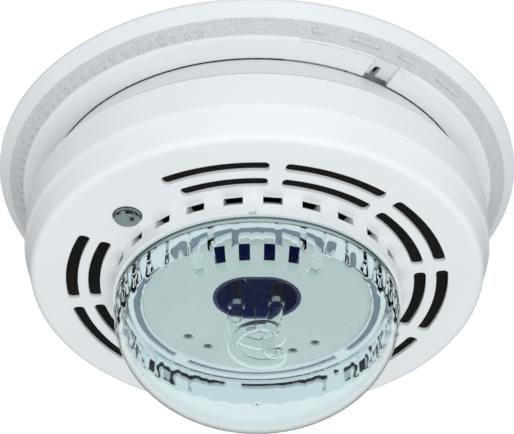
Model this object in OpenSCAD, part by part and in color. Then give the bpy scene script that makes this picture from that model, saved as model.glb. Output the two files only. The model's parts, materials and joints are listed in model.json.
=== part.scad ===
// Ceiling-mounted heat detector with a built-in flash beacon and sounder.
// Origin: centre of the mounting plate's back face. +Z points up into the ceiling,
// so the detector hangs below it and depths are written as positive "drops".

/* [Mounting plate] */
// Outer radius of the mounting plate
plate_r = 86; // [84:0.5:90]
// Wall thickness of the plate
plate_wall = 2; // [1.6:0.1:2.4]
// Depth of the plate's raised ring below the ceiling
ring_drop = 9; // [8.8:0.1:9.1]
// Radius of the hole that the supply wires come through
wire_hole_r = 30; // [20:1:32]
// Distance between the screws of a single-gang box
gang_pitch = 83.3; // [80:0.1:84]
// Distance between the screws of an octagon box
octagon_pitch = 88.9; // [86:0.1:90]
// Diameter of the box screw holes
box_hole_d = 4.4; // [4:0.1:5]

/* [Drum] */
// Radius of the drum at its upper edge
drum_r = 75.7; // [75:0.1:77]
// Depth of the drum's upper edge, where the two shells meet
split_drop = 20.6; // [20:0.1:22]
// Depth of the soft ridge round the drum
ridge_drop = 32.7; // [30:0.1:35]
// Depth of the flat front face
face_drop = 43.4; // [43:0.1:44]
// Radius of the flat front face at its edge
face_r = 72.2; // [71.5:0.1:73]
// Wall thickness of the shells
shell_wall = 2; // [1.8:0.1:2.2]
// Wall thickness of the front face where the slots are
face_wall = 1.2; // [1:0.1:1.6]

/* [Air slots] */
// Mean radius of the inner ring of slots
slot_inner_r = 52.2; // [51.5:0.05:52.5]
// Mean radius of the outer ring of slots
slot_outer_r = 59.3; // [58.8:0.05:59.4]
// Width of a slot
slot_w = 3.8; // [3:0.1:4.4]
// Number of slot pairs
slot_pairs = 9; // [6:1:9]
// Angle from one slot pair to the next
slot_pitch = 36.6; // [34:0.1:37]
// Angle that one slot spans
slot_span = 32; // [20:0.1:32.5]
// Direction of the first slot pair's centre
slot_start = -102.4; // [-104:0.1:-101]

/* [Collar and lens] */
// Outer radius of the collar
collar_r = 46; // [45.8:0.1:46.2]
// Depth of the collar's rim
collar_drop = 49.8; // [49:0.1:50]
// Number of windows round the collar's foot
window_count = 24; // [16:1:24]
// Width of a collar window
window_w = 5.9; // [3:0.1:6.2]
// Outer radius of the lens
lens_r = 45.3; // [45:0.1:45.5]
// Depth of the lens tip
lens_drop = 88; // [80:1:92]
// Number of vertical prisms inside the lens
prism_count = 36; // [24:1:72]

/* [Flash beacon] */
// Radius of the reflector disc
reflector_r = 41.3; // [40:0.1:41.4]
// Depth of the reflector's front face
reflector_drop = 50.2; // [50:0.1:50.6]
// Radius of the flash tube's coil, to the middle of the glass
coil_r = 7.5; // [7.4:0.05:8]
// Radius of the coil's glass tube
coil_glass_r = 2.1; // [2:0.05:2.4]
// Radius of the glass round the electrodes
leg_glass_r = 3.2; // [2.8:0.05:3.4]
// Drop from one turn of the coil to the next
coil_pitch = 7.4; // [7:0.1:8]

/* [Test button] */
// Radius of the button's clear dome
button_r = 4.15; // [4:0.05:4.2]
// Distance of the button from the centre
button_place_r = 53.7; // [53:0.1:54]
// Direction of the button
button_angle = -137.5; // [-138:0.5:-137]
// Travel of the button
button_travel = 1.2; // [0.8:0.1:1.5]

/* [Hidden] */
$fn = 96;
eps = 0.01;

// Plate levels and radii
lip_h = 0.9;
bevel_r = 82.5;
bevel_drop = 4.3;
band_r = 76.5;
band_drop = 7.6;
ring_in_r = 69.8;
panel_r = 71.8;
mark_h = 0.3;

// Twist lock: three lugs on the hub rest on three lugs inside the plate's ring
lug_places = [45, 165, 285];
lug_span = 16;
hub_r = 63.4;
hub_rim_drop = 3.4;
hub_panel_drop = 5.5;
run_gap = 0.05;
plate_lug_top = 6.4;
plate_lug_bottom = 8.0;
hub_lug_top = 4.3;
hub_lug_bottom = 5.9;

// Back shell
back_drop = 9.3;
back_r = 69.5;
gap = 0.3;

// Inner levels
face_in = face_drop - face_wall;
ledge_in = face_drop - shell_wall;
board_top = 21.5;
board_bottom = 23.1;
strobe_top = 36.6;
strobe_bottom = 38.2;
reflector_back = reflector_drop - 1.6;
spigot_r = drum_r - shell_wall - gap;

// Screws
case_boss_r = 65.6;
case_places = [30, 150, 270];
post_place_r = 54;
post_places = [60, 180, 300];
strobe_post_r = 21;
strobe_places = [90, 210, 330];
screw_r = 1.45;
pilot_r = 1.5;

// Air openings: the slot next to the button starts a little later
button_trim = 2.6;
window_start = -99;

// Button guide
button_hole_r = 4.6;
flange_r = 5.3;
guide_r = flange_r + run_gap;
guide_top = 36.5;
switch_plunger_drop = 27.6;

// Reflector: a white ring holds it, with a grey seal in arcs between its four tabs
well_wall = 1.2;
seal_in_r = 37.2;
seal_out_r = 39.4;
seal_h = 0.4;
tab_places = [43, 131, 223, 311, 403];

// Flash tube
glass_wall = 0.7;
tube_top = 41.6;
leg_a = [6.1, -2];
leg_b = [-6.4, -0.5];
rise = [3.1, -0.9];
trigger_place = [-0.5, -2.3];
coil_top = 58.4;
coil_turns = 1.5;

// ---------- shared shapes ----------

// Repeats its children round the axis at the given angles and radius
module around(angles, r) {
    for (a = angles) rotate([0, 0, a]) translate([r, 0, 0]) children();
}

// Turns a list of [radius, drop] points into a solid of revolution
module turned(points) {
    rotate_extrude() polygon([for (p = points) [p[0], -p[1]]]);
}

// Part of a ring between two angles, with a rectangular section
module ring_part(r_in, r_out, top, bottom, from, to) {
    rotate([0, 0, from]) rotate_extrude(angle = to - from)
        polygon([[r_in, -bottom], [r_out, -bottom], [r_out, -top], [r_in, -top]]);
}

// Full ring with a rectangular section
module ring(r_in, r_out, top, bottom) {
    turned([[r_in, bottom], [r_out, bottom], [r_out, top], [r_in, top]]);
}

// Upright rod between two drops
module rod(r, top, bottom) {
    translate([0, 0, -bottom]) cylinder(r = r, h = bottom - top);
}

// Box centred in X and Y between two drops
module block(w, d, top, bottom) {
    translate([-w / 2, -d / 2, -bottom]) cube([w, d, bottom - top]);
}

// Screw with a low round head: the head lies above or below its shank
module screw(head_r, head_top, head_bottom, shank_top, shank_bottom) {
    rod(head_r, head_top, head_bottom);
    rod(screw_r, shank_top, shank_bottom);
}

function unit(v) = v / norm(v);

// Points of a rounded corner at b between a and c
function corner(a, b, c, r, n = 5) =
    let (u = unit(a - b), v = unit(c - b),
        half = acos(u * v) / 2,
        mid = b + unit(u + v) * r / sin(half),
        s = b + u * r / tan(half) - mid,
        e = b + v * r / tan(half) - mid,
        turn = 180 - 2 * half)
    [for (i = [0:n]) mid + (s * sin(turn * (1 - i / n)) + e * sin(turn * i / n)) / sin(turn)];

// Point on a cubic curve
function bezier(p, t) =
    p[0] * pow(1 - t, 3) + p[1] * 3 * t * pow(1 - t, 2)
    + p[2] * 3 * t * t * (1 - t) + p[3] * pow(t, 3);

// Direction of a path at its point i
function heading(path, i) =
    unit(path[min(i + 1, len(path) - 1)] - path[max(i - 1, 0)]);

// Side directions carried along a path without twist
function sides(path, i, last) =
    i == len(path) ? [] :
    let (t = heading(path, i), n = unit(last - (last * t) * t))
    concat([n], sides(path, i + 1, n));

// Rings of points round a path
function rings(path, radii, count) =
    let (side = sides(path, 0, [1, 0.02, 0.01]))
    [for (i = [0:len(path) - 1]) let (t = heading(path, i), n = side[i], b = cross(t, n))
        for (k = [0:count - 1])
            path[i] + radii[i] * (n * cos(360 * k / count) + b * sin(360 * k / count))];

// Faces of the wall between the rings, seen from outside or, if flipped, from inside
function wall_faces(n, count, start, flip) =
    [for (i = [0:n - 2]) for (k = [0:count - 1])
        let (a = start + i * count + k, b = start + i * count + (k + 1) % count,
            c = b + count, d = a + count)
        each (flip ? [[a, b, c], [a, c, d]] : [[a, c, b], [a, d, c]])];

// Solid wire along a path
module wire(path, r, count = 8) {
    n = len(path);
    polyhedron(rings(path, [for (p = path) r], count),
        concat(wall_faces(n, count, 0, false),
            [[for (k = [0:count - 1]) k]],
            [[for (k = [count - 1:-1:0]) (n - 1) * count + k]]));
}

// Hollow tube along a path, open at both ends
module tube(path, radii, wall, count = 12) {
    n = len(path);
    m = n * count;
    last = (n - 1) * count;
    polyhedron(
        concat(rings(path, radii, count), rings(path, [for (r = radii) r - wall], count)),
        concat(wall_faces(n, count, 0, false), wall_faces(n, count, m, true),
            [for (k = [0:count - 1]) let (j = (k + 1) % count)
                each [[k, j, m + j], [k, m + j, m + k],
                    [last + k, m + last + k, m + last + j], [last + k, m + last + j, last + j]]]));
}

// ---------- mounting plate ----------

// Depth of the sloping band at radius r
function band_at(r) = bevel_drop + (bevel_r - r) * (band_drop - bevel_drop) / (bevel_r - band_r);

module plate_mark(r_in, r_out, from, to) {
    rotate([0, 0, from]) rotate_extrude(angle = to - from)
        polygon([[r_in, -band_at(r_in) - mark_h], [r_out, -band_at(r_out) - mark_h],
            [r_out, -band_at(r_out) + plate_wall / 2], [r_in, -band_at(r_in) + plate_wall / 2]]);
}

// Places its children on the sloping band, square to it
module on_band(r, angle) {
    slope = atan((band_drop - bevel_drop) / (bevel_r - band_r));
    rotate([0, 0, angle]) translate([r, 0, -band_at(r)]) rotate([0, -slope, 0]) children();
}

plate_face = [[plate_r, 0], [plate_r, lip_h], [bevel_r, bevel_drop], [band_r, band_drop],
    [ring_in_r, ring_drop]];

module plate_shell() {
    turned(concat(plate_face, [[ring_in_r, plate_wall], [wire_hole_r, plate_wall], [wire_hole_r, 0],
        [panel_r, 0], [panel_r, ring_drop - 2.2], [band_r - 0.2, band_drop - 2.1],
        [bevel_r - 0.9, bevel_drop - 1.9], [plate_r - 2.4, 0]]));
}

// Raised marks: a turning arrow on the near side with plain bars beside it,
// and a run of plain ticks round the left
module plate_marks() {
    plate_mark(76.9, 77.7, -80, -54);
    on_band(77.3, -54) linear_extrude(2 * mark_h, center = true)
        polygon([[-1.6, 0], [1.6, 0], [0, 3]]);
    for (bar = [[-78, -75], [-69, -62], [-57, -53], [-46, -38]])
        plate_mark(79.6, 81, bar[0], bar[1]);
    for (i = [0:27]) plate_mark(78.4, i % 4 == 0 ? 80.8 : 79.8, -184 + i * 3, -183.1 + i * 3);
}

module at_release() {
    rotate([0, 0, -58.8]) children();
}

// Pocket in the raised ring that leads to the release slot
module release_pocket(extra) {
    at_release() translate([ring_in_r - 1.5, -4.4 - extra, -ring_drop - 1])
        cube([9.3 + extra, 8.8 + 2 * extra, 3 + extra]);
}

module release_slot() {
    at_release() translate([0, -1.2, 0]) {
        translate([ring_in_r - 1, -1.1, -ring_drop]) cube([4, 2.2, 5]);
        translate([ring_in_r + 3, 0, -ring_drop]) cylinder(r = 1.1, h = 5);
    }
}

// Dark pawl behind the release slot
module release_catch() {
    color("#1d1e20") at_release() translate([ring_in_r + 0.1, -3.6, -5.2]) difference() {
        cube([6.2, 5.4, 1.8]);
        translate([1, 1, -0.4]) cube([4.2, 3.4, 0.8]);
    }
}

// Notch in the raised ring that clears the pawl
module catch_notch() {
    at_release() translate([ring_in_r - 1, -3.7, -5.2]) cube([panel_r - ring_in_r + 1.5, 5.6, 1.9]);
}

module mounting_plate() {
    color("white") difference() {
        union() {
            plate_shell();
            plate_marks();
            intersection() {
                turned(concat(plate_face, [[ring_in_r, 0]]));
                release_pocket(1.8);
            }
            for (a = lug_places) {
                ring_part(hub_r + run_gap, ring_in_r + 0.5, plate_lug_top, plate_lug_bottom,
                    a - lug_span / 2, a + lug_span / 2);
                ring_part(64.6, ring_in_r + 0.5, plate_wall - 0.5, plate_lug_bottom,
                    a + lug_span / 2 + 0.8, a + lug_span / 2 + 3);
            }
        }
        release_pocket(0);
        release_slot();
        catch_notch();
        for (s = [-1, 1]) {
            translate([s * gang_pitch / 2, 0, -plate_wall - 1])
                cylinder(d = box_hole_d, h = plate_wall + 2);
            translate([0, s * octagon_pitch / 2, -plate_wall - 1]) {
                for (e = [-1, 1]) translate([0, e * 2.3, 0])
                    cylinder(d = box_hole_d, h = plate_wall + 2);
                translate([-box_hole_d / 2, -2.3, 0]) cube([box_hole_d, 4.6, plate_wall + 2]);
            }
        }
    }
}

// Ring of foam between the plate and the hub
module dust_seal() {
    color("dimgray") ring(wire_hole_r + 3, wire_hole_r + 7.5, plate_wall, hub_panel_drop - gap);
}

// ---------- shells ----------

module back_cover() {
    color("whitesmoke") difference() {
        union() {
            turned([[0, hub_panel_drop], [60.5, hub_panel_drop], [60.5, hub_rim_drop],
                [hub_r, hub_rim_drop], [hub_r, back_drop], [back_r, back_drop],
                [drum_r - 0.6, split_drop - gap], [spigot_r, split_drop - gap],
                [spigot_r, split_drop + 4], [spigot_r - 1.8, split_drop + 4],
                [spigot_r - 1.8, split_drop - 2.4], [67.9, back_drop + shell_wall],
                [61.4, back_drop + shell_wall], [61.4, hub_panel_drop + shell_wall],
                [0, hub_panel_drop + shell_wall]]);
            for (a = lug_places)
                ring_part(hub_r - 1, 69.3, hub_lug_top, hub_lug_bottom,
                    a - lug_span / 2, a + lug_span / 2);
            around(case_places, case_boss_r) rod(4.2, back_drop + 1, 14.5);
            around(post_places, post_place_r) rod(3.3, hub_panel_drop + 1, board_top);
            difference() {
                block(29, 17, hub_panel_drop + 1, 12);
                block(25, 13, hub_panel_drop, 12 + eps);
            }
        }
        block(25, 13, hub_panel_drop - 1, 13);
        around(case_places, case_boss_r) {
            rod(3.1, back_drop - 1, 12.3);
            rod(1.6, 12, 15);
        }
        around(post_places, post_place_r) rod(pilot_r, 13, board_top + 1);
    }
}

// Air slot with rounded corners between two angles
module slot(r, from, to) {
    end_r = 1.4;
    end_a = asin(end_r / r);
    top = face_in - 1;
    bottom = face_drop + 1;
    ring_part(r - slot_w / 2, r + slot_w / 2, top, bottom, from + end_a, to - end_a);
    ring_part(r - slot_w / 2 + end_r, r + slot_w / 2 - end_r, top, bottom, from, to);
    around([from + end_a, to - end_a], r) for (e = [-1, 1])
        translate([e * (slot_w / 2 - end_r), 0, 0]) rod(end_r - 0.02, top, bottom);
}

// Window at the collar's foot: the face curves up through it into the drum
module collar_window() {
    rotate([90, 0, 0]) translate([0, 0, -window_w / 2]) linear_extrude(window_w)
        polygon([[40.6, -46.5], [46.6, -46.5], [46.6, -43.65], [45.6, -43.65],
            [45.2, -43.3], [44.7, -42.8], [44.2, -42.1], [43.9, -41], [40.6, -41]]);
}

wall_top = [drum_r, split_drop];
wall_ridge = [drum_r - 0.5, ridge_drop];
wall_step = [drum_r - 1.35, ridge_drop + 2.2];
wall_edge = [face_r, face_drop];

module front_cover() {
    color("white") difference() {
        union() {
            turned(concat([[drum_r - 0.5, split_drop], wall_top + [0, 0.5]],
                corner(wall_top, wall_ridge, wall_step, 2),
                corner(wall_ridge, wall_step, wall_edge, 3),
                corner(wall_step, wall_edge, [collar_r, face_drop], 2.4),
                [[collar_r, face_drop], [collar_r, collar_drop], [43.6, collar_drop],
                [43.6, face_drop], [38, face_drop], [38, ledge_in], [47.2, ledge_in],
                [48, face_in], [face_r - 2.4, face_in], [drum_r - 2.9, ridge_drop + 1],
                [drum_r - shell_wall, split_drop + 5], [drum_r - shell_wall, split_drop]]));
            around(case_places, case_boss_r) rod(3.7, 14.5, face_in + 1);
            around([button_angle], button_place_r) rod(guide_r + 1.4, guide_top, face_in + 1);
        }
        for (i = [0:slot_pairs - 1]) rotate([0, 0, slot_start + i * slot_pitch]) {
            slot(slot_inner_r, -slot_span / 2 + (i == 0 ? button_trim : 0), slot_span / 2);
            slot(slot_outer_r, -slot_span / 2, slot_span / 2);
        }
        for (i = [0:window_count - 1]) rotate([0, 0, window_start + i * 360 / window_count])
            collar_window();
        around(case_places, case_boss_r) rod(pilot_r, 14, 25);
        around([button_angle], button_place_r) {
            rod(button_hole_r, face_in - 1, face_drop + 1);
            rod(guide_r, guide_top - 1, face_in);
        }
        translate([-2.3, -collar_r - 1, -collar_drop - 1]) cube([2, 3, 1.6]);
    }
}

module insect_screen() {
    inner = slot_inner_r - 3.6;
    outer = slot_outer_r + 2.5;
    color("#15171a") difference() {
        ring(inner, outer, face_in - 0.5, face_in);
        around([button_angle], button_place_r) rod(guide_r + 1.7, face_in - 1, face_in + 1);
        around(case_places, case_boss_r) rod(4, face_in - 1, face_in + 1);
    }
}

module case_screws() {
    color("silver") around(case_places, case_boss_r) screw(2.7, 10.2, 12.3, 12.2, 22);
}

// ---------- main board ----------

module main_board() {
    color("darkgreen") difference() {
        rod(60.4, board_top, board_bottom);
        around(post_places, post_place_r) rod(1.6, board_top - 1, board_bottom + 1);
    }
}

module board_screws() {
    color("silver") around(post_places, post_place_r)
        screw(2.8, board_bottom, board_bottom + 1.9, 16, board_bottom + 0.5);
}

// Socket for the supply plug: open towards the ceiling
module supply_socket() {
    color("ivory") difference() {
        block(24.4, 12.4, hub_panel_drop - 0.2, board_top);
        block(21.6, 9.6, hub_panel_drop - 1, 17);
        for (x = [-6, 0, 6]) translate([x, 0, 0]) rod(0.75, 16, board_top + 1);
    }
}

module supply_pins() {
    color("gold") for (x = [-6, 0, 6]) translate([x, 0, 0]) rod(0.7, 8.5, board_top);
}

module controller_chip() {
    color("#202225") {
        translate([-24, 14, 0]) block(10, 7.5, board_bottom, board_bottom + 2.3);
        translate([-6, -16, 0]) block(6, 5, board_bottom, board_bottom + 1.8);
    }
}

module surface_parts() {
    color("#2e2e30") {
        for (i = [0:5]) translate([-38 + i * 4.5, 25 - i, 0]) block(2, 1.25, board_bottom, board_bottom + 0.6);
        for (i = [0:5]) translate([16 + i * 4, -14, 0]) block(1.25, 2, board_bottom, board_bottom + 0.6);
    }
}

module dropper_capacitor() {
    color("#b5482f") translate([-32, -16, 0]) block(18, 8, 9.4, board_top);
}

module surge_varistor() {
    color("#2a4f9e") translate([32, 10, -15.4]) rotate([90, 0, 0]) cylinder(r = 5, h = 4.2, center = true);
    color("#2a4f9e") translate([32, 10, 0]) block(6, 1, 19, board_top);
}

module board_link() {
    color("#202225") translate([-17, 2, 0]) block(2.5, 12.6, board_bottom, strobe_top);
}

// ---------- heat sensing ----------

module thermistor(bead_drop) {
    for (s = [-1, 1]) translate([s * 0.7, 0, 0]) rod(0.25, board_bottom, bead_drop);
    translate([0, 0, -bead_drop]) sphere(r = 1.3);
}

module exposed_thermistor() {
    color("#1c2a44") around([-24.8], slot_inner_r + 3.6) thermistor(38.4);
}

module reference_thermistor() {
    color("#1c2a44") around([-48], 48) thermistor(26.4);
}

module reference_cap() {
    color("lightgray") around([-48], 48) difference() {
        rod(4.2, board_bottom, 31);
        rod(3, board_bottom - 1, 29.8);
    }
}

// ---------- sounder ----------

module at_sounder() {
    translate([0, 43, 0]) children();
}

module horn_housing() {
    color("#26282b") at_sounder() difference() {
        union() {
            rod(17, 27, 40);
            for (a = [45, 135, 225, 315]) rotate([0, 0, a]) translate([14.5, 0, 0])
                rod(1.5, board_bottom, 27.5);
        }
        rod(15, 28.6, 31.4);
        rod(13.6, 31, 38.6);
        rod(5, 38, 41);
        for (x = [-4, 4]) translate([x, 0, 0]) rod(0.8, 26, 29);
    }
}

module piezo_disc() {
    color("#c8a04a") at_sounder() {
        rod(14.9, 31, 31.3);
        rod(10, 30.7, 31.05);
    }
}

module piezo_leads() {
    color("firebrick") at_sounder() for (x = [-4, 4]) translate([x, 0, 0]) rod(0.5, board_bottom, 30.7);
}

// ---------- test button ----------

module at_button() {
    around([button_angle], button_place_r) rotate([0, 0, -button_angle]) children();
}

module tact_switch() {
    color("#303236") at_button() {
        block(6, 6, board_bottom, 26.4);
        rod(1.75, 26.3, switch_plunger_drop);
    }
}

module status_led() {
    color("#a8d08a") at_button() translate([7.6, 4, 0]) {
        block(3.2, 1.6, board_bottom, 24.3);
    }
}

// Clear dome, guide flange and the stem that reaches the switch
module test_button() {
    dome_drop = face_drop + 0.7;
    dome_h = 1.6;
    color("lightcyan") at_button() {
        turned(concat([[0, 40.4], [flange_r, 40.4], [flange_r, face_in - 0.1],
            [button_r, face_in - 0.1], [button_r, dome_drop]],
            [for (i = [1:8]) [button_r * cos(i * 11.25), dome_drop + dome_h * sin(i * 11.25)]]));
        translate([0.6, 0, 0]) block(2.4, 2.4, switch_plunger_drop + button_travel + 0.2, 41);
    }
}

module button_spring() {
    turns = 5;
    per_turn = 12;
    top = board_bottom;
    height = 40.4 - board_bottom - 0.8;
    color("silver") at_button()
        wire([for (i = [0:turns * per_turn]) let (a = i * 360 / per_turn)
            [4.7 * cos(a), 4.7 * sin(a), -top - 0.4 - height * i / (turns * per_turn)]], 0.3, 6);
}

// ---------- flash beacon ----------

module strobe_board() {
    color("darkgreen") difference() {
        rod(24.5, strobe_top, strobe_bottom);
        around(strobe_places, strobe_post_r) rod(1.6, strobe_top - 1, strobe_bottom + 1);
        for (p = [leg_a, leg_b, trigger_place]) translate([p[0], p[1], 0])
            rod(0.6, strobe_top - 1, strobe_bottom + 1);
    }
}

module strobe_screws() {
    color("silver") around(strobe_places, strobe_post_r)
        screw(2.6, strobe_top - 1.8, strobe_top, strobe_top - 0.5, 45);
}

module flash_capacitor() {
    color("#17181c") translate([-15, -34, -29.5]) rotate([0, 90, 0]) {
        cylinder(r = 6.2, h = 29);
        translate([0, 0, -0.6]) cylinder(r = 5.2, h = 0.7);
    }
}

module inverter_core() {
    color("#3a3a3d") translate([40, 12, 0]) difference() {
        block(14, 13, board_bottom, 36);
        block(11, 14, board_bottom + 2.4, 33.6);
    }
}

module inverter_winding() {
    color("#d8b43a") translate([40, 12, 0]) block(10.6, 12.4, board_bottom + 2.6, 33.4);
}

module trigger_coil() {
    color("#b9752c") translate([-34, 8, 0]) rotate([0, 0, 20]) rod(4, board_bottom, 35);
}

// Outline of the opening in the reflector, grown by extra
module opening(extra) {
    half_span = 2.8;
    end_r = 9.95 + extra;
    translate([0, -3.4]) {
        for (s = [-1, 1]) translate([s * half_span, 0]) circle(r = end_r);
        square([2 * half_span, 2 * end_r], center = true);
    }
}

// Navy cup that lines the reflector's opening
module lamp_well() {
    color("#121a5c") difference() {
        translate([0, 0, -reflector_drop]) linear_extrude(reflector_drop - strobe_bottom)
            opening(well_wall);
        translate([0, 0, -reflector_drop - 1]) linear_extrude(reflector_drop - strobe_bottom - 0.6)
            opening(0);
        for (p = [leg_a, leg_b, trigger_place]) translate([p[0], p[1], 0])
            rod(0.8, strobe_bottom - 1, strobe_bottom + 2);
    }
}

module reflector() {
    color("#c9d3d2") difference() {
        union() {
            rod(reflector_r, reflector_back, reflector_drop);
            ring(38.6, 40.2, face_drop, reflector_back + 0.5);
            around(strobe_places, strobe_post_r) rod(2.8, strobe_bottom, reflector_back + 0.5);
        }
        translate([0, 0, -reflector_drop - 1]) linear_extrude(4) opening(well_wall + run_gap);
        around([49, 66, 124, 141], 29) translate([0, 0, -reflector_drop - eps])
            cylinder(r1 = 1.9, r2 = 0.5, h = 1.4);
        around(strobe_places, strobe_post_r) rod(pilot_r, strobe_bottom - 1, 46);
    }
}

// Arcs between the four tabs of the retaining ring
module seal_arcs(extra, bottom) {
    tab_half = 4 - extra;
    for (i = [0:3]) ring_part(seal_in_r - extra, seal_out_r + extra, reflector_drop - extra, bottom,
        tab_places[i] + tab_half, tab_places[i + 1] - tab_half);
}

module retaining_ring() {
    color("white") difference() {
        ring(36.6, reflector_r, reflector_drop, reflector_drop + 1.2);
        seal_arcs(run_gap, reflector_drop + 2);
    }
}

module reflector_seal() {
    color("slategray") seal_arcs(0, reflector_drop + seal_h);
}

// Middle line of the glass: down the left leg, round the coil, and up inside it to the right leg
function at_depth(p, depth) = [p[0], p[1], -depth];
function bend(p, steps) = [for (i = [1:steps]) bezier(p, i / steps)];

coil_steps = 30;
coil_path = [for (i = [0:coil_steps]) let (a = 180 - 360 * coil_turns * i / coil_steps)
    [coil_r * cos(a), coil_r * sin(a), -coil_top - coil_pitch * coil_turns * i / coil_steps]];
coil_exit = coil_path[coil_steps];
tube_path = concat(
    [for (d = [tube_top, 46, 50, 52]) at_depth(leg_b, d)],
    bend([at_depth(leg_b, 52), at_depth(leg_b, 55.5), coil_path[0] - [0, 3.6, -0.8], coil_path[0]], 6),
    [for (i = [1:coil_steps]) coil_path[i]],
    bend([coil_exit, coil_exit + [0, -5, -0.8], at_depth(rise, 72.5), at_depth(rise, 66)], 9),
    bend([at_depth(rise, 66), at_depth(rise, 57.5), at_depth(leg_a, 59), at_depth(leg_a, 52)], 8),
    [for (d = [50, 46, tube_top]) at_depth(leg_a, d)]);
tube_radii = [for (i = [0:len(tube_path) - 1])
    -tube_path[i][2] < 52.5 ? leg_glass_r : i > coil_steps + 12 ? 1.9 : coil_glass_r];

module flash_tube() {
    color("aliceblue") tube(tube_path, tube_radii, glass_wall);
}

module electrodes() {
    color("slategray") for (p = [leg_a, leg_b]) translate([p[0], p[1], 0]) {
        rod(0.5, strobe_bottom, 45);
        rod(1.5, 44.8, 49.5);
    }
}

module trigger_wire() {
    loop_r = 1.3;
    color("silver") translate([trigger_place[0], trigger_place[1], 0]) {
        rod(0.22, strobe_bottom, 62);
        for (d = [61.4, 62]) translate([-loop_r, 0, -d]) rotate_extrude()
            translate([loop_r, 0]) circle(r = 0.22, $fn = 16);
    }
}

// ---------- lens ----------

module lens_gasket() {
    color("gainsboro") ring(43.7, 45.1, collar_drop, collar_drop + 0.4);
}

lens_rim = collar_drop + 0.4;
lens_eye = 55;
lens_wall = 2.1;

module lens() {
    bulge = lens_drop - lens_eye;
    steps = 18;
    skirt_out = 43.4;
    color("paleturquoise", 0.5) {
        turned(concat([[skirt_out - 1.6, 47], [skirt_out, 47], [skirt_out, lens_rim], [lens_r, lens_rim]],
            [for (i = [0:steps]) let (a = i * 90 / steps)
                [lens_r * cos(a), lens_eye + bulge * sin(a)]],
            [for (i = [steps:-1:0]) let (a = i * 90 / steps)
                [(lens_r - lens_wall) * cos(a), lens_eye + (bulge - lens_wall) * sin(a)]],
            [[lens_r - lens_wall, lens_rim + 1], [skirt_out - 1.6, lens_rim + 1]]));
        translate([0, 0, -64.4]) linear_extrude(12.4) difference() {
            circle(r = 43.3);
            polygon([for (i = [0:2 * prism_count - 1]) let (a = i * 180 / prism_count)
                (i % 2 == 0 ? 42.7 : 41.5) * [cos(a), sin(a)]]);
        }
    }
}

mounting_plate();
dust_seal();
release_catch();
back_cover();
front_cover();
insect_screen();
case_screws();
main_board();
board_screws();
supply_socket();
supply_pins();
controller_chip();
surface_parts();
dropper_capacitor();
surge_varistor();
board_link();
exposed_thermistor();
reference_thermistor();
reference_cap();
horn_housing();
piezo_disc();
piezo_leads();
tact_switch();
status_led();
test_button();
button_spring();
strobe_board();
strobe_screws();
flash_capacitor();
inverter_core();
inverter_winding();
trigger_coil();
lamp_well();
reflector();
retaining_ring();
reflector_seal();
flash_tube();
electrodes();
trigger_wire();
lens_gasket();
lens();
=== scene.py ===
"""Looks of the ceiling heat detector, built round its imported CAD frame.

Lengths are in metres, except where a comment says millimetres.
"""
import json
import math

import bmesh
import bpy
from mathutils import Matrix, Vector


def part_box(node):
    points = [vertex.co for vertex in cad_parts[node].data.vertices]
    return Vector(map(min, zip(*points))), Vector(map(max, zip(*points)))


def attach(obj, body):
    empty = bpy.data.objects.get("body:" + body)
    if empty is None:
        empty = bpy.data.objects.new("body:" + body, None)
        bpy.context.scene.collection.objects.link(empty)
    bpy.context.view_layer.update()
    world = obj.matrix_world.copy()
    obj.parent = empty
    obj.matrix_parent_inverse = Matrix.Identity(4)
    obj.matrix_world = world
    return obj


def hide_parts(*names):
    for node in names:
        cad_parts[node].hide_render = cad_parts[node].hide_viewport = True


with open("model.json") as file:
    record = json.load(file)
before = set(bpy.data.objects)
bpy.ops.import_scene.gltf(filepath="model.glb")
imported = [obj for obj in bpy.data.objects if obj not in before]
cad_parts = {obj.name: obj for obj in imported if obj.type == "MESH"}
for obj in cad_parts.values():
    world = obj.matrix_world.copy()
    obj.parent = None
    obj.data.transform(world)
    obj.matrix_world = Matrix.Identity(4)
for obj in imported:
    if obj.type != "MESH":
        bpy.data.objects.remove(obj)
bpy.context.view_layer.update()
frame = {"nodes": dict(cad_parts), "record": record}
MM = 0.001


# ---------- measures taken from the frame ----------

plate_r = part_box("mounting_plate")[1].x
reflector_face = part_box("reflector")[0].z
lens_low, lens_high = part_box("lens")


# ---------- camera, light and floor ----------

def build_camera():
    """Looks up at the detector from below its near side."""
    elevation = math.radians(39.23)
    aim = Vector((0, 0, -0.165 * plate_r))
    distance = 6.842 * plate_r
    along = Vector((0, math.cos(elevation), math.sin(elevation)))
    data = bpy.data.cameras.new("camera")
    data.sensor_width = 36
    data.lens = 124.3
    data.clip_start = 0.01
    data.clip_end = 50
    camera = bpy.data.objects.new("camera", data)
    camera.location = aim - along * distance
    camera.rotation_euler = along.to_track_quat("-Z", "Y").to_euler()
    bpy.context.scene.collection.objects.link(camera)
    bpy.context.scene.camera = camera


def backdrop(tree, strength):
    node = tree.nodes.new("ShaderNodeBackground")
    node.inputs["Color"].default_value = (0.985, 0.995, 1, 1)
    node.inputs["Strength"].default_value = strength
    return node.outputs[0]


def build_world():
    """Even studio light: a white backdrop, and a dimmer room for glossy surfaces to mirror.

    Light that has been mirrored often inside the lens sees the bright backdrop again.
    """
    world = bpy.data.worlds.new("studio")
    world.use_nodes = True
    tree = world.node_tree
    path = tree.nodes.new("ShaderNodeLightPath").outputs
    often = math_node(tree, "GREATER_THAN", path["Glossy Depth"], 2.5)
    shade = backdrop(tree, 0.74)
    for share, strength in ((path["Is Glossy Ray"], 0.16), (path["Is Transmission Ray"], 0.9),
                            (often, 0.85), (path["Is Camera Ray"], 1.05)):
        shade = mix_shaders(tree, share, shade, backdrop(tree, strength))
    tree.links.new(shade, tree.nodes["World Output"].inputs["Surface"])
    bpy.context.scene.world = world


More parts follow.
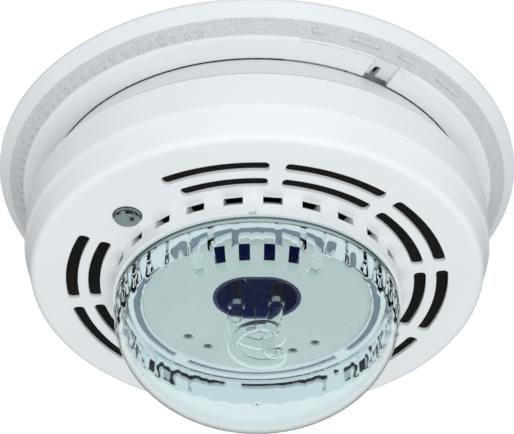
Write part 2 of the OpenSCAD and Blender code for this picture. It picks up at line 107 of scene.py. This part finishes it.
def area_light(name, place, target, size, power):
    """A round soft light that shows in no mirror and through no glass."""
    data = bpy.data.lights.new(name, "AREA")
    data.shape = "DISK"
    data.size = size
    data.energy = power
    light = bpy.data.objects.new(name, data)
    light.location = place
    light.rotation_euler = (Vector(target) - Vector(place)).to_track_quat("-Z", "Y").to_euler()
    light.visible_glossy = False
    light.visible_transmission = False
    bpy.context.scene.collection.objects.link(light)


def build_stage():
    """A plain pale floor, a room's height below the ceiling plane."""
    half, depth = 3.0, -1.8
    mesh = bpy.data.meshes.new("floor")
    mesh.from_pydata([(-half, -half, depth), (half, -half, depth), (half, half, depth), (-half, half, depth)],
                     [], [(0, 1, 2, 3)])
    floor = bpy.data.objects.new("floor", mesh)
    bpy.context.scene.collection.objects.link(floor)
    mat, tree, shader = new_material("pale_floor")
    colour = noise_colour(tree, 3.0, (0.86, 0.86, 0.86), (0.90, 0.90, 0.90))
    tree.links.new(colour, shader.inputs["Base Color"])
    shader.inputs["Roughness"].default_value = 0.8
    floor.data.materials.append(mat)


# ---------- material helpers ----------

def new_material(name):
    mat = bpy.data.materials.new(name)
    mat.use_nodes = True
    return mat, mat.node_tree, mat.node_tree.nodes["Principled BSDF"]


def object_place(tree):
    return tree.nodes.new("ShaderNodeTexCoord").outputs["Object"]


def object_axes(tree):
    """The object's X, Y and Z as single values."""
    parts = tree.nodes.new("ShaderNodeSeparateXYZ")
    tree.links.new(object_place(tree), parts.inputs[0])
    return parts.outputs


def math_node(tree, operation, first, second=None):
    """A Math node on one or two values, each a socket or a number."""
    node = tree.nodes.new("ShaderNodeMath")
    node.operation = operation
    for socket, value in zip(node.inputs, (first, second)):
        if isinstance(value, (int, float)):
            socket.default_value = value
        elif value is not None:
            tree.links.new(value, socket)
    return node.outputs[0]


def mix_shaders(tree, share, first, second):
    node = tree.nodes.new("ShaderNodeMixShader")
    tree.links.new(share, node.inputs["Fac"])
    tree.links.new(first, node.inputs[1])
    tree.links.new(second, node.inputs[2])
    return node.outputs[0]


def noise(tree, scale, detail=3.0):
    node = tree.nodes.new("ShaderNodeTexNoise")
    tree.links.new(object_place(tree), node.inputs["Vector"])
    node.inputs["Scale"].default_value = scale
    node.inputs["Detail"].default_value = detail
    return node.outputs["Fac"]


def ramp(tree, value, low, high, start=0.3, end=0.7):
    """Colours between low and high as the value goes from start to end."""
    node = tree.nodes.new("ShaderNodeValToRGB")
    tree.links.new(value, node.inputs["Fac"])
    node.color_ramp.elements[0].position = start
    node.color_ramp.elements[0].color = (*low, 1)
    node.color_ramp.elements[1].position = end
    node.color_ramp.elements[1].color = (*high, 1)
    return node.outputs["Color"]


def spread(tree, value, low, high, start=0.0, end=1.0):
    """Maps a value that goes from start to end to the range low to high."""
    node = tree.nodes.new("ShaderNodeMapRange")
    tree.links.new(value, node.inputs["Value"])
    node.inputs["From Min"].default_value = start
    node.inputs["From Max"].default_value = end
    node.inputs["To Min"].default_value = low
    node.inputs["To Max"].default_value = high
    return node.outputs["Result"]


def noise_colour(tree, scale, low, high):
    return ramp(tree, noise(tree, scale), low, high)


def overpaint(tree, shader, share, colour):
    """Lays a colour, a socket or three numbers, over the shader's base colour by the given share."""
    node = tree.nodes.new("ShaderNodeMix")
    node.data_type = "RGBA"
    base, top = (socket for socket in node.inputs if socket.type == "RGBA")
    tree.links.new(share, node.inputs["Factor"])
    tree.links.new(shader.inputs["Base Color"].links[0].from_socket, base)
    if isinstance(colour, tuple):
        top.default_value = (*colour, 1)
    else:
        tree.links.new(colour, top)
    mixed = next(socket for socket in node.outputs if socket.type == "RGBA")
    tree.links.new(mixed, shader.inputs["Base Color"])


def bump(tree, shader, value, strength, depth, round_edge=0.0):
    """Surface relief, over edges that are rounded by round_edge."""
    node = tree.nodes.new("ShaderNodeBump")
    node.inputs["Strength"].default_value = strength
    node.inputs["Distance"].default_value = depth
    tree.links.new(value, node.inputs["Height"])
    if round_edge:
        bevel = tree.nodes.new("ShaderNodeBevel")
        bevel.samples = 4
        bevel.inputs["Radius"].default_value = round_edge
        tree.links.new(bevel.outputs["Normal"], node.inputs["Normal"])
    tree.links.new(node.outputs["Normal"], shader.inputs["Normal"])


def moulded(name, dark, light, rough=0.38, grain=1700.0, relief=0.06, edge=0.3 * MM, coat=0.0):
    """Moulded plastic: a fine spark-eroded grain, slow colour drift and slightly uneven gloss."""
    mat, tree, shader = new_material(name)
    tree.links.new(noise_colour(tree, 22.0, dark, light), shader.inputs["Base Color"])
    gloss = spread(tree, noise(tree, 160.0, 4.0), rough - 0.05, rough + 0.07)
    tree.links.new(gloss, shader.inputs["Roughness"])
    bump(tree, shader, noise(tree, grain, 2.0), relief, 0.06 * MM, edge)
    shader.inputs["Coat Weight"].default_value = coat
    shader.inputs["Coat Roughness"].default_value = 0.15
    return mat


def marked_plate(name, in_r=77.6 * MM, out_r=82.4 * MM, fade=0.2 * MM):
    """The plate's plastic, with a darker speckled band round its ring that carries the marks."""
    mat = moulded(name, (0.70, 0.735, 0.755), (0.745, 0.775, 0.795), 0.42)
    tree = mat.node_tree
    x, y, _ = object_axes(tree)
    squares = math_node(tree, "ADD", math_node(tree, "MULTIPLY", x, x), math_node(tree, "MULTIPLY", y, y))
    r = math_node(tree, "SQRT", squares)
    band = math_node(tree, "MULTIPLY", spread(tree, r, 0, 1, in_r - fade, in_r + fade),
                     spread(tree, r, 0, 1, out_r + fade, out_r - fade))
    # A darker speckled colour laid over the band between in_r and out_r.
    speckle = noise_colour(tree, 1500.0, (0.46, 0.49, 0.515), (0.60, 0.63, 0.65))
    overpaint(tree, tree.nodes["Principled BSDF"], band, speckle)
    return mat


def dimpled_reflector(name):
    """The reflector's glossy pale plastic; painted shade darkens the dimples where they sink below its face.
    """
    mat = moulded(name, (0.565, 0.605, 0.59), (0.605, 0.645, 0.63), 0.28, 900.0, 0.03, 0.3 * MM, 0.3)
    tree = mat.node_tree
    height = object_axes(tree)["Z"]
    # Painted shade: the colour goes dark with depth below the reflector's face, inside the dimples.
    painted_dimple_shade = spread(tree, height, 0, 1, reflector_face + 0.1 * MM, reflector_face + 0.9 * MM)
    overpaint(tree, tree.nodes["Principled BSDF"], painted_dimple_shade, (0.09, 0.11, 0.12))
    return mat


def metal(name, colour, rough=0.3, grain=400.0, stretch=(1, 1, 12)):
    """Drawn or rolled metal with fine marks along one direction."""
    mat, tree, shader = new_material(name)
    mapping = tree.nodes.new("ShaderNodeMapping")
    mapping.inputs["Scale"].default_value = stretch
    tree.links.new(object_place(tree), mapping.inputs["Vector"])
    marks = tree.nodes.new("ShaderNodeTexNoise")
    marks.inputs["Scale"].default_value = grain
    tree.links.new(mapping.outputs["Vector"], marks.inputs["Vector"])
    low = tuple(c * 0.82 for c in colour)
    tree.links.new(ramp(tree, marks.outputs["Fac"], low, colour), shader.inputs["Base Color"])
    tree.links.new(spread(tree, marks.outputs["Fac"], rough - 0.08, rough + 0.12), shader.inputs["Roughness"])
    bump(tree, shader, marks.outputs["Fac"], 0.12, 0.03 * MM, 0.1 * MM)
    shader.inputs["Metallic"].default_value = 1.0
    return mat


def clear(name, colour, ior, rough, waviness, ripple, sheer=0.0):
    """Clear plastic or glass with faint flow marks.

    A sheer surface keeps its refraction but gives up that share of its faint face-on mirroring. Shadow and
    diffuse rays pass straight through, and so does light that has been trapped in the wall for long.
    """
    mat, tree, shader = new_material(name)
    shader.inputs["Base Color"].default_value = (*colour, 1)
    shader.inputs["Transmission Weight"].default_value = 1.0
    shader.inputs["IOR"].default_value = ior
    tree.links.new(spread(tree, noise(tree, 220.0, 5.0), rough, rough + 0.05), shader.inputs["Roughness"])
    bump(tree, shader, noise(tree, ripple, 2.0), waviness, 0.4 * MM)
    glass = shader.outputs["BSDF"]
    if sheer:
        bend = tree.nodes.new("ShaderNodeBsdfRefraction")
        bend.inputs["Color"].default_value = (*[math.sqrt(c) for c in colour], 1)
        bend.inputs["IOR"].default_value = ior
        bend.inputs["Roughness"].default_value = rough
        tree.links.new(shader.inputs["Normal"].links[0].from_socket, bend.inputs["Normal"])
        edge = tree.nodes.new("ShaderNodeFresnel")
        edge.inputs["IOR"].default_value = ior
        facing = spread(tree, edge.outputs[0], sheer, 0, 0.12, 0.5)
        glass = mix_shaders(tree, facing, glass, bend.outputs[0])
    through = tree.nodes.new("ShaderNodeBsdfTransparent")
    through.inputs["Color"].default_value = (*[0.5 + c / 2 for c in colour], 1)
    path = tree.nodes.new("ShaderNodeLightPath").outputs
    trapped = math_node(tree, "GREATER_THAN", path["Ray Depth"], 6.5)
    unlit = math_node(tree, "MAXIMUM", path["Is Shadow Ray"], path["Is Diffuse Ray"])
    free = math_node(tree, "MAXIMUM", unlit, trapped)
    surface = mix_shaders(tree, free, glass, through.outputs[0])
    tree.links.new(surface, tree.nodes["Material Output"].inputs["Surface"])
    return mat


def insect_mesh_and_slot_shade(name, pitch=1.1 * MM):
    """Woven insect mesh, two crossed families of fine ridges; its near-black colour is the mesh's own black
    and painted shade for the slots in front of it.
    """
    mat, tree, shader = new_material(name)
    x, y, _ = object_axes(tree)
    turns = [math_node(tree, "MULTIPLY", axis, 2 * math.pi / pitch) for axis in (x, y)]
    weave = math_node(tree, "MAXIMUM", *[math_node(tree, "SINE", turn) for turn in turns])
    # Near-black weave colour: the mesh's own black and painted shade deep in the slots.
    tree.links.new(ramp(tree, weave, (0.001, 0.001, 0.0012), (0.006, 0.006, 0.0065), 0.2, 0.9),
                   shader.inputs["Base Color"])
    bump(tree, shader, weave, 0.5, 0.2 * MM)
    shader.inputs["Roughness"].default_value = 0.75
    shader.inputs["Specular IOR Level"].default_value = 0.2
    return mat


def circuit_board(name):
    """Green solder resist with faint copper tracks under it."""
    mat, tree, shader = new_material(name)
    cells = tree.nodes.new("ShaderNodeTexVoronoi")
    cells.feature = "DISTANCE_TO_EDGE"
    cells.inputs["Scale"].default_value = 240.0
    tree.links.new(object_place(tree), cells.inputs["Vector"])
    tree.links.new(ramp(tree, cells.outputs["Distance"], (0.09, 0.30, 0.13), (0.02, 0.13, 0.06), 0.05, 0.12),
                   shader.inputs["Base Color"])
    bump(tree, shader, cells.outputs["Distance"], 0.2, 0.05 * MM)
    shader.inputs["Roughness"].default_value = 0.32
    return mat


# Each slot's kind of finish and what that function takes after the name
MATERIALS = {
    "white_plate": (marked_plate,),
    "white_shell": (moulded, (0.775, 0.805, 0.825), (0.81, 0.835, 0.855), 0.36),
    "black_mesh": (insect_mesh_and_slot_shade,),
    "foam": (moulded, (0.10, 0.10, 0.11), (0.17, 0.17, 0.18), 0.9, 900.0, 0.8),
    "steel": (metal, (0.62, 0.63, 0.65)),
    "spring_steel": (metal, (0.70, 0.71, 0.72), 0.22),
    "green_board": (circuit_board,),
    "socket_plastic": (moulded, (0.66, 0.63, 0.53), (0.74, 0.71, 0.62), 0.45),
    "brass": (metal, (0.78, 0.62, 0.28), 0.25),
    "black_epoxy": (moulded, (0.012, 0.012, 0.014), (0.03, 0.03, 0.033), 0.55, 2600.0, 0.2),
    "red_epoxy": (moulded, (0.42, 0.07, 0.03), (0.55, 0.11, 0.05), 0.2, 300.0, 0.1, 0.6 * MM),
    "blue_epoxy": (moulded, (0.03, 0.07, 0.33), (0.05, 0.11, 0.44), 0.2, 300.0, 0.1, 0.6 * MM),
    "bead_glass": (moulded, (0.02, 0.03, 0.07), (0.04, 0.06, 0.12), 0.12, 500.0, 0.05),
    "grey_plastic": (moulded, (0.36, 0.37, 0.38), (0.45, 0.46, 0.47), 0.45),
    "horn_plastic": (moulded, (0.02, 0.02, 0.022), (0.04, 0.04, 0.044), 0.5),
    "piezo_brass": (metal, (0.75, 0.60, 0.30), 0.3, 300.0, (1, 8, 1)),
    "red_wire": (moulded, (0.42, 0.03, 0.025), (0.55, 0.05, 0.04), 0.35),
    "led_epoxy": (moulded, (0.28, 0.55, 0.22), (0.40, 0.70, 0.30), 0.12, 600.0, 0.03),
    "clear_button": (clear, (0.80, 0.88, 0.88), 1.49, 0.03, 0.04, 300.0),
    "capacitor_sleeve": (moulded, (0.02, 0.022, 0.03), (0.04, 0.045, 0.06), 0.25, 500.0),
    "ferrite": (moulded, (0.04, 0.04, 0.043), (0.08, 0.08, 0.085), 0.6, 1400.0, 0.3),
    "winding_tape": (moulded, (0.66, 0.50, 0.07), (0.78, 0.60, 0.12), 0.25, 400.0),
    "coil_lacquer": (metal, (0.62, 0.30, 0.12), 0.3, 900.0, (1, 1, 14)),
    "navy_plastic": (moulded, (0.004, 0.007, 0.055), (0.007, 0.013, 0.085), 0.22, 240.0, 0.1, 0.3 * MM, 0.25),
    "reflector_white": (dimpled_reflector,),
    "tube_glass": (clear, (0.97, 0.99, 0.985), 1.47, 0.005, 0.02, 220.0, 0.5),
    "tungsten": (metal, (0.38, 0.40, 0.43), 0.4),
    "trigger_metal": (metal, (0.75, 0.76, 0.78), 0.25),
    "gasket_rubber": (moulded, (0.62, 0.66, 0.67), (0.70, 0.74, 0.75), 0.6),
    "seal_rubber": (moulded, (0.20, 0.24, 0.29), (0.26, 0.30, 0.35), 0.5, 900.0, 0.2),
    "catch_plastic": (moulded, (0.010, 0.010, 0.011), (0.02, 0.02, 0.021), 0.7, 900.0, 0.3),
    "lens_clear": (clear, (0.885, 0.965, 0.97), 1.585, 0.01, 0.04, 45.0, 0.85),
}


def paint_frame():
    """Gives every CAD node the finish of its slot, and returns the finishes by slot."""
    finishes = {}
    for part in frame["record"]["subparts"]:
        slot = part["material_slot"]
        if slot not in finishes:
            kind, *values = MATERIALS[slot]
            finishes[slot] = kind(slot, *values)
        node = frame["nodes"][part["node"]]
        node.data.materials.clear()
        node.data.materials.append(finishes[slot])
    return finishes


# ---------- mesh helpers ----------

def add_object(name, verts, faces, mat, body, smooth_angle=30.0):
    """Makes a piece from a closed mesh, smooth up to the given angle, that rides on the body."""
    mesh = bpy.data.meshes.new(name)
    mesh.from_pydata(verts, [], faces)
    shape = bmesh.new()
    shape.from_mesh(mesh)
    bmesh.ops.recalc_face_normals(shape, faces=shape.faces)
    shape.to_mesh(mesh)
    shape.free()
    for face in mesh.polygons:
        face.use_smooth = True
    mesh.set_sharp_from_angle(angle=math.radians(smooth_angle))
    piece = bpy.data.objects.new(name, mesh)
    bpy.context.scene.collection.objects.link(piece)
    piece.data.materials.append(mat)
    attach(piece, body)
    return piece


def closed_grid(rows, wrap_rows=True):
    """Faces of a grid of equal rings of points; the last ring joins the first when wrap_rows is set."""
    count = len(rows[0])
    verts = [p for row in rows for p in row]
    faces = []
    last = len(rows) if wrap_rows else len(rows) - 1
    for i in range(last):
        for k in range(count):
            here, there = i * count, (i + 1) % len(rows) * count
            after = (k + 1) % count
            faces.append((here + k, here + after, there + after, there + k))
    return verts, faces


# ---------- lens ----------

# Prisms: how many, their depths below the ceiling, the radius between them and their height, in millimetres
RIB_COUNT = 36
RIB_TOP, RIB_END = 52.4, 64.4
RIB_R, RIB_HEIGHT = 42.6, 0.7
# Share of that height away from the near side, how far round the near side reaches in degrees,
# and where and how steeply the windows slope inwards there
SIDE_SHARE, NEAR_REACH = 0.45, 28
SLOPE_TOP, SLOPE = 59.6, 1.15


def rib_angles():
    """Direction of each grid line round the lens, its height up a prism, and the window's slope there."""
    pitch = 360 / RIB_COUNT
    window = [(offset, 0) for offset in (-2.2, -1.1, 0, 1.1, 2.2)]
    prism = [(2.25, 0.02), (3.6, 0.5), (5, 1), (6.4, 0.5), (7.75, 0.02)]
    start = -90 - pitch / 2
    lines = []
    for i in range(RIB_COUNT):
        for offset, height in window + prism:
            angle = start + pitch * i + offset
            near = abs((angle + 270) % 360 - 180) < NEAR_REACH
            lines.append((math.radians(angle), height if near else height * SIDE_SHARE,
                          SLOPE if near and height == 0 else 0.0))
    return lines


def build_lens(mat):
    """Clear dome, in millimetres: smooth outside, upright prisms and sloping windows inside."""
    top, tip = -lens_high.z / MM, -lens_low.z / MM
    rim = top + 3.2
    eye = rim + 4.8
    out_r = lens_high.x / MM
    wall, skirt_wall, skirt_r = 2.1, 1.6, 43.4
    edge = 0.3
    in_r, in_reach = out_r - wall, tip - wall - eye
    steps, last_angle = 40, math.radians(89.6)
    step_gap = 0.05

    def inside(depth, height, slope):
        smooth = in_r * math.sqrt(max(0.0, 1 - (max(0.0, depth - eye) / in_reach) ** 2))
        if not RIB_TOP <= depth <= RIB_END:
            return smooth
        return min(smooth, RIB_R - RIB_HEIGHT * height - slope * max(0.0, depth - SLOPE_TOP))

    def curve(r, reach):
        angles = [i * last_angle / steps for i in range(steps + 1)]
        return [(r * math.cos(t), eye + reach * math.sin(t)) for t in angles]

    outer = [(skirt_r - skirt_wall, top), (skirt_r, top), (skirt_r, rim)]
    outer += [(out_r - edge, rim), (out_r, rim + edge)] + curve(out_r, tip - eye)
    cap = [(r, d) for r, d in reversed(curve(in_r, in_reach)) if d > RIB_END + 2 * step_gap]
    depths = [RIB_END + step_gap, RIB_END, 63, 61.5, 60.2, SLOPE_TOP, 58.5, 57, 55.5, 54, RIB_TOP,
              RIB_TOP - step_gap]
    ledge = [(in_r, rim + 1.8), (skirt_r - skirt_wall, rim + 1.0)]
    lines = rib_angles()
    rows = [[(r, a, d) for a, _, _ in lines] for r, d in outer + cap]
    rows += [[(inside(d, height, slope), a, d) for a, height, slope in lines] for d in depths]
    rows += [[(r, a, d) for a, _, _ in lines] for r, d in ledge]
    rows = [[(r * math.cos(a) * MM, r * math.sin(a) * MM, -d * MM) for r, a, d in row] for row in rows]
    verts, faces = closed_grid(rows)
    lens = add_object("lens_dome", verts, faces, mat, "detector", 22.0)
    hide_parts("lens")


# ---------- flash tube ----------

def bezier(points, t):
    a, b, c, d = points
    return a * (1 - t) ** 3 + b * 3 * t * (1 - t) ** 2 + c * 3 * t * t * (1 - t) + d * t ** 3


def tube_line():
    """Middle line of the glass and its radius along it, worked out in millimetres.

    It runs down the left leg, round the coil, and up inside it to the right leg.
    """
    thin, neck, narrow, thick = 2.1, 1.9, 3.0, 3.2
    coil_r, pitch, turns = 7.5, 7.4, 1.5
    top, leg_end, coil_top = 41.6, 51, 58.4
    leg_steps, coil_steps = 8, 120
    right, left, rise = (6.1, -2), (-6.4, -0.5), (3.1, -0.9)

    def at(place, depth):
        return Vector((place[0], place[1], -depth))

    def leg(place):
        depths = [top + (leg_end - top) * i / leg_steps for i in range(leg_steps + 1)]
        return [(at(place, depth), thick) for depth in depths] + [(at(place, leg_end + 0.4), narrow)]

    def bend(points, count, start_r, end_r):
        shares = [i / count for i in range(1, count + 1)]
        return [(bezier(points, t), start_r + (end_r - start_r) * t) for t in shares]

    def coil_point(i):
        a = math.pi * (1 - 2 * turns * i / coil_steps)
        depth = coil_top + pitch * turns * i / coil_steps
        return at((coil_r * math.cos(a), coil_r * math.sin(a)), depth)

    coil = [coil_point(i) for i in range(coil_steps + 1)]
    first, last = coil[0], coil[-1]
    left_end, right_end = at(left, leg_end + 1), at(right, leg_end + 1)
    line = leg(left) + [(left_end, 2.5)]
    line += bend([left_end, at(left, 55.5), first - Vector((0, 3.6, -0.8)), first], 14, 2.3, thin)
    line += [(point, thin) for point in coil[1:]]
    line += bend([last, last + Vector((0, -5, -0.8)), at(rise, 72.5), at(rise, 66)], 26, thin, neck)
    line += bend([at(rise, 66), at(rise, 57.5), at(right, 59), right_end], 24, neck, 2.4)
    line += leg(right)[::-1]
    return [(point * MM, r * MM) for point, r in line]


def sweep_rings(line, sides, inset=0.0):
    """Rings of points along a line of (place, radius), turned no more than the line itself turns."""
    side = Vector((1, 0.02, 0.01))
    rows = []
    for i, (place, radius) in enumerate(line):
        ahead = (line[min(i + 1, len(line) - 1)][0] - line[max(i - 1, 0)][0]).normalized()
        side = (side - ahead * side.dot(ahead)).normalized()
        cross = ahead.cross(side)
        row = []
        for k in range(sides):
            a = 2 * math.pi * k / sides
            row.append(place + (side * math.cos(a) + cross * math.sin(a)) * (radius - inset))
        rows.append(row)
    return rows


def build_flash_tube(mat):
    line = tube_line()
    sides, wall = 28, 0.7 * MM
    outside = sweep_rings(line, sides)
    inside = sweep_rings(line, sides, wall)
    verts, faces = closed_grid(outside + inside[::-1])
    tube = add_object("glass_coil", verts, faces, mat, "detector", 40.0)
    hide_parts("flash_tube")


# ---------- test button trim ----------

def build_button_ring(mat, centre):
    """Black sealing ring in the gap round the button."""
    in_r, out_r, top, bottom = 4.2 * MM, 4.56 * MM, -42.5 * MM, -43.3 * MM
    rows = []
    for r, z in ((in_r, top), (out_r, top), (out_r, bottom), (in_r, bottom)):
        angles = [math.radians(5 * k) for k in range(72)]
        rows.append([(centre.x + r * math.cos(a), centre.y + r * math.sin(a), z) for a in angles])
    verts, faces = closed_grid(rows)
    add_object("button_ring", verts, faces, mat, "detector")


def build_button_light(mat, centre):
    """Square lens of the status light, under the button's dome and right of its middle."""
    x, y, half = centre.x + 1.3 * MM, centre.y + 0.2 * MM, 0.55 * MM
    corners = [(x - half, y - half), (x + half, y - half), (x + half, y + half), (x - half, y + half)]
    rows = [[(*corner, z) for corner in corners] for z in (-43.3 * MM, -44.2 * MM)]
    verts, faces = closed_grid(rows, False)
    faces += [(3, 2, 1, 0), (4, 5, 6, 7)]
    add_object("button_light", verts, faces, mat, "test_button")


# ---------- the scene ----------

build_camera()
build_world()
build_stage()
area_light("key", (0.15, -0.93, -0.90), (0, 0, -0.03), 1.2, 9.2)
finishes = paint_frame()
build_lens(finishes["lens_clear"])
build_flash_tube(finishes["tube_glass"])
button_low, button_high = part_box("test_button")
button_centre = (button_low + button_high) / 2
build_button_ring(finishes["catch_plastic"], button_centre)
build_button_light(finishes["catch_plastic"], button_centre)

scene = bpy.context.scene
scene.view_settings.view_transform = "Standard"
scene.cycles.use_denoising = True
scene.cycles.max_bounces = 24
scene.cycles.transmission_bounces = 16
scene.cycles.transparent_max_bounces = 16
